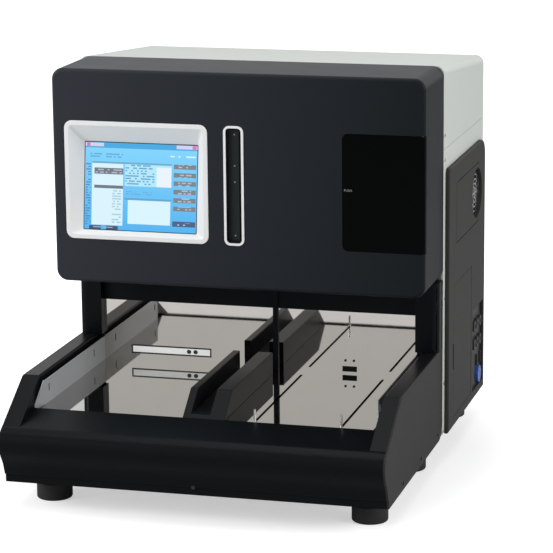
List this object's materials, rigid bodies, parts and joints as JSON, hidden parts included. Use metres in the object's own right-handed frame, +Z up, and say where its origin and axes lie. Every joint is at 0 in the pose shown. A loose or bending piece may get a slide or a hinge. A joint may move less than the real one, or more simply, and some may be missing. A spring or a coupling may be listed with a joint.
{
  "type": "urine analyzer",
  "caption": "Bench-top urine analyzer with an open rack tray, overhanging screen cover, strip cassette door and side service door.",
  "frame": {"origin": "on the table, under the middle of the object's overall box", "axes": "+X to the operator's right, +Y to the back, +Z up; the operator stands at -Y"},
  "size_m": [0.573, 0.716, 0.604],
  "materials": {
    "dark_cover": "satin moulded ABS, near black",
    "dark_shell": "fine-textured moulded plastic, dark grey",
    "white_paint": "light grey-white satin paint",
    "white_trim": "white moulded trim",
    "black_gloss": "glossy black",
    "pillar_black": "black, lightly glossy",
    "polished_steel": "polished stainless, clearly reflecting",
    "liner_steel": "grey coated sheet",
    "pan_steel": "zinc-plated sheet",
    "screen_glass": "glass over a colour display",
    "lens": "smoked diffuser",
    "rubber": "black rubber",
    "blue_plastic": "blue moulded plastic",
    "black_plastic": "black moulded plastic",
    "white_plastic": "white acetal",
    "clear_plastic": "translucent polycarbonate",
    "aluminium": "machined aluminium",
    "bright_steel": "ground steel",
    "wire": "bright plated wire",
    "board_green": "green solder mask",
    "motor_black": "black coated steel",
    "belt_rubber": "toothed rubber belt"
  },
  "bodies": {
    "cabinet": {"feet": "rubber", "base_pan": "pan_steel", "front_apron": "dark_shell", "tray_wall_right": "dark_shell", "tray_wall_left": "dark_shell", "side_panel_right": "dark_shell", "side_panel_left": "dark_shell", "tray_liners": "liner_steel", "tray_floor_left": "polished_steel", "tray_floor_right": "polished_steel", "back_plate_left": "polished_steel", "back_plate_right": "polished_steel", "rack_strip": "white_trim", "rack_sensor": "white_trim", "centre_post": "black_plastic", "tray_divider": "dark_shell", "pillar_right": "pillar_black", "pillar_left": "pillar_black", "bulkhead": "pan_steel", "front_cover": "dark_cover", "screen_bezel": "white_trim", "display_panel": "screen_glass", "indicator_bezel": "white_trim", "indicator_lens": "lens", "cassette_well": "black_plastic", "strip_cassette": "clear_plastic", "top_cover": "white_paint", "body_cover": "white_paint", "side_shell_right": "dark_shell", "side_shell_left": "dark_shell", "hinge_pins": "bright_steel", "fan_frame": "black_plastic", "fan_guard": "wire", "hose_fittings": "black_plastic", "waste_cap": "blue_plastic", "rear_panel": "white_paint", "power_inlet": "black_plastic", "rocker_frame": "black_plastic", "data_ports": "wire", "case_screws": "bright_steel", "gantry_rail": "aluminium", "gantry_belt": "belt_rubber", "pusher_rails": "bright_steel", "drive_motors": "motor_black", "optical_reader": "black_plastic", "power_supply": "pan_steel", "main_board": "board_green", "wash_pump": "motor_black"},
    "cassette_door": {"cassette_door": "black_gloss"},
    "access_door": {"access_door": "dark_shell"},
    "push_latch": {"push_latch": "white_plastic"},
    "feed_drum": {"feed_drum": "white_plastic"},
    "fan_rotor": {"fan_rotor": "black_plastic"},
    "power_rocker": {"power_rocker": "black_plastic"},
    "probe_carriage": {"probe_carriage": "aluminium"},
    "probe_arm": {"probe_arm": "aluminium"},
    "drive_pulley": {"drive_pulley": "aluminium"},
    "idler_pulley": {"idler_pulley": "aluminium"},
    "rack_pusher": {"rack_pusher": "aluminium"},
    "lead_screw": {"lead_screw": "bright_steel"}
  },
  "joints": [
    {"name": "cassette_door_hinge", "type": "hinge", "parent": "cabinet", "child": "cassette_door", "pos_m": [0.276, -0.096, 0.43625], "axis": [0, 0, 1], "range_deg": [0, 100]},
    {"name": "access_door_hinge", "type": "hinge", "parent": "cabinet", "child": "access_door", "pos_m": [0.2846, 0.2181, 0.162], "axis": [0, 0, 1], "range_deg": [0, 95]},
    {"name": "push_latch_slide", "type": "slide", "parent": "cabinet", "child": "push_latch", "axis": [0, 1, 0], "range_m": [0, 0.004], "stiffness_N_per_m": 600},
    {"name": "feed_drum_spin", "type": "hinge", "parent": "cabinet", "child": "feed_drum", "pos_m": [0.2175, -0.0592, 0.3825], "axis": [1, 0, 0], "continuous": true},
    {"name": "fan_spin", "type": "hinge", "parent": "cabinet", "child": "fan_rotor", "pos_m": [0.266, 0.262, 0.3725], "axis": [1, 0, 0], "continuous": true},
    {"name": "power_rocker_tilt", "type": "hinge", "parent": "cabinet", "child": "power_rocker", "pos_m": [0.13, 0.3495, 0.13], "axis": [1, 0, 0], "range_deg": [-18, 0]},
    {"name": "probe_traverse", "type": "slide", "parent": "cabinet", "child": "probe_carriage", "axis": [1, 0, 0], "range_m": [-0.08, 0.22]},
    {"name": "probe_lower", "type": "slide", "parent": "probe_carriage", "child": "probe_arm", "axis": [0, 0, -1], "range_m": [0, 0.11]},
    {"name": "drive_pulley_spin", "type": "hinge", "parent": "cabinet", "child": "drive_pulley", "pos_m": [-0.215, 0.014, 0.416], "axis": [0, 1, 0], "range_deg": [-1190, 440]},
    {"name": "idler_pulley_spin", "type": "hinge", "parent": "cabinet", "child": "idler_pulley", "pos_m": [0.215, 0.014, 0.416], "axis": [0, 1, 0], "range_deg": [-1190, 440]},
    {"name": "rack_push", "type": "slide", "parent": "cabinet", "child": "rack_pusher", "axis": [0, 1, 0], "range_m": [0, 0.259]},
    {"name": "lead_screw_spin", "type": "hinge", "parent": "cabinet", "child": "lead_screw", "pos_m": [0.136, -0.1, 0.072], "axis": [0, 1, 0], "range_deg": [-4680, 10]}
  ],
  "couplings": [
    {"joint": "drive_pulley_spin", "follows": "probe_traverse", "rad_per_m": -93.023},
    {"joint": "idler_pulley_spin", "follows": "probe_traverse", "rad_per_m": -93.023},
    {"joint": "lead_screw_spin", "follows": "rack_push", "rad_per_m": -314.16}
  ]
}
